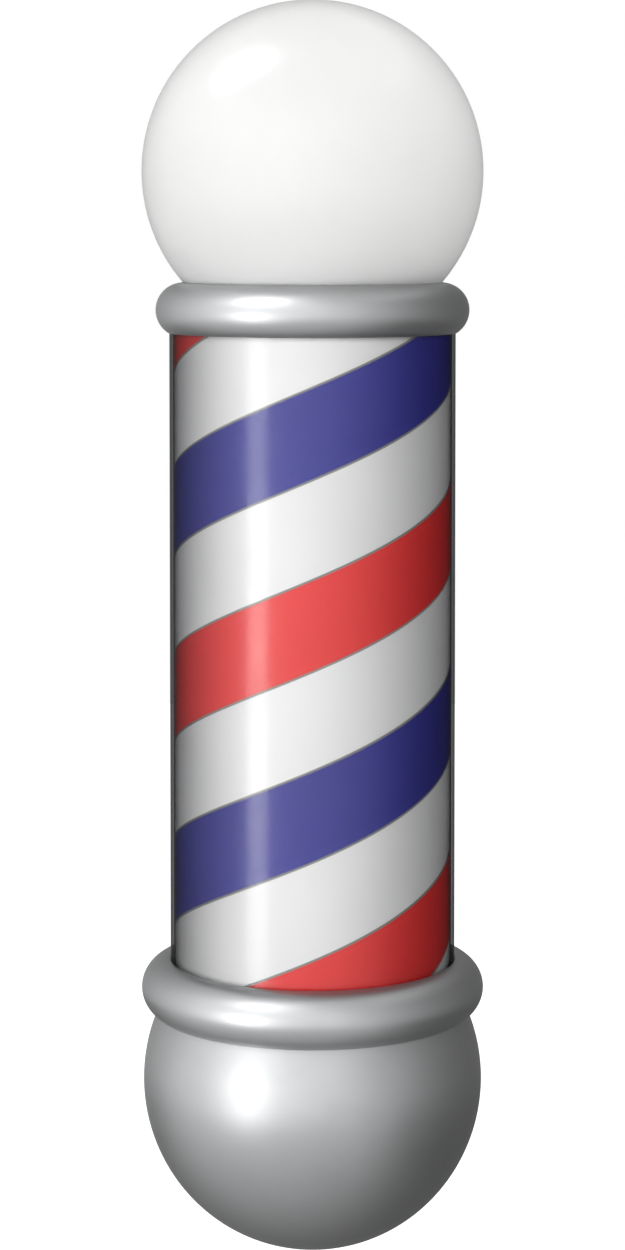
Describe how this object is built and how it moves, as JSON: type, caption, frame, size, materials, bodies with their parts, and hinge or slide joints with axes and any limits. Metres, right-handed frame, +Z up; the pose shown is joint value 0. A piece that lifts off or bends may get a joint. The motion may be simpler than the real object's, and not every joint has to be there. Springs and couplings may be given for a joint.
{
  "type": "barber pole",
  "caption": "Wall-hung barber pole: opal globe, turning red and blue striped drum in a clear tube, polished rings and bowl, rear arms on a wall channel.",
  "frame": {"origin": "centre of the wall channel's back face, level with the middle of the tube", "axes": "+Z up along the pole, +Y into the wall, the front faces -Y"},
  "size_m": [0.202, 0.251, 0.7357],
  "materials": {
    "polished_metal": "softly polished",
    "cast_aluminium": "fine cast",
    "zinc_steel": "zinc plated",
    "screw_steel": "plain",
    "aluminium": "extruded",
    "clear_acrylic": "clear",
    "gasket_rubber": "matt",
    "clear_silicone": "milky",
    "opal_globe": "opal, glossy",
    "opal_drum": "opal",
    "red_film": "satin",
    "blue_film": "satin",
    "moulded_hub": "moulded",
    "bronze": "sintered bronze",
    "nylon": "moulded",
    "brass": "machined",
    "ceramic": "glazed",
    "bulb_glass": "frosted",
    "driver_case": "moulded",
    "strip_board": "coated board",
    "led_phosphor": "phosphor",
    "switch_black": "moulded",
    "switch_ivory": "moulded"
  },
  "bodies": {
    "pole": {"wall_channel": "zinc_steel", "entry_grommet": "gasket_rubber", "upper_arm": "cast_aluminium", "lower_arm": "cast_aluminium", "arm_side_screws": "screw_steel", "arm_bolts": "screw_steel", "upper_ring": "polished_metal", "lower_ring": "polished_metal", "outer_tube": "clear_acrylic", "upper_gasket": "gasket_rubber", "lower_gasket": "gasket_rubber", "cap_plate": "zinc_steel", "cap_plate_screws": "screw_steel", "base_plate": "zinc_steel", "base_plate_screws": "screw_steel", "centre_tube": "screw_steel", "tie_washers": "zinc_steel", "tie_nuts": "zinc_steel", "globe_fitter": "zinc_steel", "fitter_screws": "screw_steel", "globe_gasket": "clear_silicone", "lamp_holder": "ceramic", "bulb": "bulb_glass", "bowl": "polished_metal", "bowl_screws": "screw_steel", "gear_motor": "zinc_steel", "motor_screws": "screw_steel", "led_driver": "driver_case", "driver_screws": "screw_steel", "terminal_block": "driver_case", "thrust_collar": "screw_steel", "thrust_washer": "nylon", "light_column": "aluminium", "led_strips": "strip_board", "led_chips": "led_phosphor", "column_collars": "screw_steel", "switch_bodies": "switch_black"},
    "globe_body": {"globe": "opal_globe"},
    "drum": {"drum_shell": "opal_drum", "red_stripe": "red_film", "blue_stripe": "blue_film", "lower_hub": "moulded_hub", "upper_hub": "moulded_hub", "lower_bush": "bronze", "upper_bush": "nylon", "drive_gear": "nylon", "gear_screws": "screw_steel"},
    "motor_pinion": {"motor_shaft": "screw_steel", "pinion": "brass", "pinion_grub_screw": "screw_steel"},
    "light_switch": {"light_rocker": "switch_ivory"},
    "drive_switch": {"drive_rocker": "switch_ivory"}
  },
  "joints": [
    {"name": "drum_spin", "type": "hinge", "parent": "pole", "child": "drum", "pos_m": [0, -0.15, 0], "axis": [0, 0, 1], "continuous": true},
    {"name": "pinion_spin", "type": "hinge", "parent": "pole", "child": "motor_pinion", "pos_m": [0.042, -0.15, -0.2], "axis": [0, 0, 1], "continuous": true},
    {"name": "globe_twist", "type": "hinge", "parent": "pole", "child": "globe_body", "pos_m": [0, -0.15, 0.2], "axis": [0, 0, 1], "range_deg": [0, 45]},
    {"name": "light_rocker_tilt", "type": "hinge", "parent": "pole", "child": "light_switch", "pos_m": [-0.0082, -0.02965, -0.2145], "axis": [-1, 0, 0], "range_deg": [0, 20]},
    {"name": "drive_rocker_tilt", "type": "hinge", "parent": "pole", "child": "drive_switch", "pos_m": [0.0082, -0.02965, -0.2145], "axis": [-1, 0, 0], "range_deg": [0, 20]}
  ],
  "couplings": [
    {"joint": "pinion_spin", "follows": "drum_spin", "ratio": -2.5}
  ]
}
